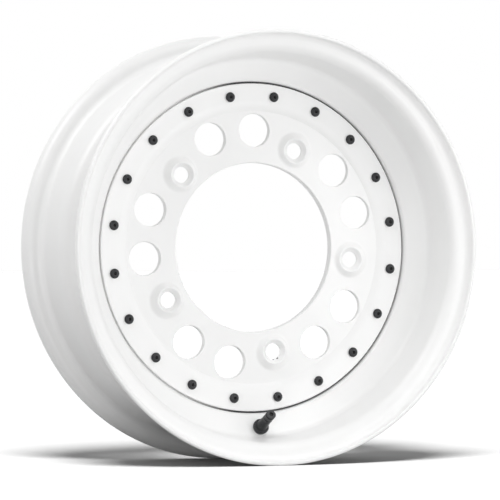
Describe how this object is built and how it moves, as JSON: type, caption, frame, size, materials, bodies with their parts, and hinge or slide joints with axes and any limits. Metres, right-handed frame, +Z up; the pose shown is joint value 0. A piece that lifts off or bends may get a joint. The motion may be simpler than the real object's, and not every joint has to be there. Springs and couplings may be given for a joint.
{
  "type": "wheel rim",
  "caption": "White modular wheel rim with a bolted centre disc, large hub bore, raised lug seats, round lightening holes, black rim screws and a capped valve.",
  "frame": {"origin": "centre of the hub bore on the disc's back face, where the wheel seats on the hub", "axes": "wheel axis along Y, outer face towards -Y, +Z up with the valve at the bottom as pictured"},
  "size_m": [0.4148, 0.152, 0.4148],
  "materials": {
    "disc_paint": "smooth white paint",
    "rim_paint": "smooth white paint",
    "sealant": "grey cured sealant",
    "edge_seal": "black cured sealant",
    "black_steel": "black oxide",
    "washer_steel": "zinc plated",
    "nut_steel": "zinc plated",
    "nylon": "natural nylon",
    "valve_rubber": "moulded black rubber",
    "valve_brass": "plain brass",
    "cap_plastic": "black plastic"
  },
  "bodies": {
    "wheel": {"center_disc": "disc_paint", "outer_rim_half": "rim_paint", "inner_rim_half": "rim_paint", "joint_sealant": "sealant", "disc_edge_seal": "edge_seal", "rim_screws": "black_steel", "rim_washers": "washer_steel", "rim_nuts": "nut_steel", "nut_rings": "nylon", "valve_body": "valve_rubber", "valve_tube": "valve_brass", "valve_core": "valve_brass"},
    "pin": {"valve_pin": "valve_brass", "valve_plunger": "valve_rubber"},
    "cap": {"valve_cap": "cap_plastic", "cap_seal": "valve_rubber"}
  },
  "joints": [
    {"name": "cap_off", "type": "slide", "parent": "wheel", "child": "cap", "axis": [-0.0063, -0.891, 0.4539], "range_m": [0, 0.014]},
    {"name": "pin_press", "type": "slide", "parent": "wheel", "child": "pin", "axis": [0.0063, 0.891, -0.4539], "range_m": [0, 0.0015], "stiffness_N_per_m": 1000}
  ]
}
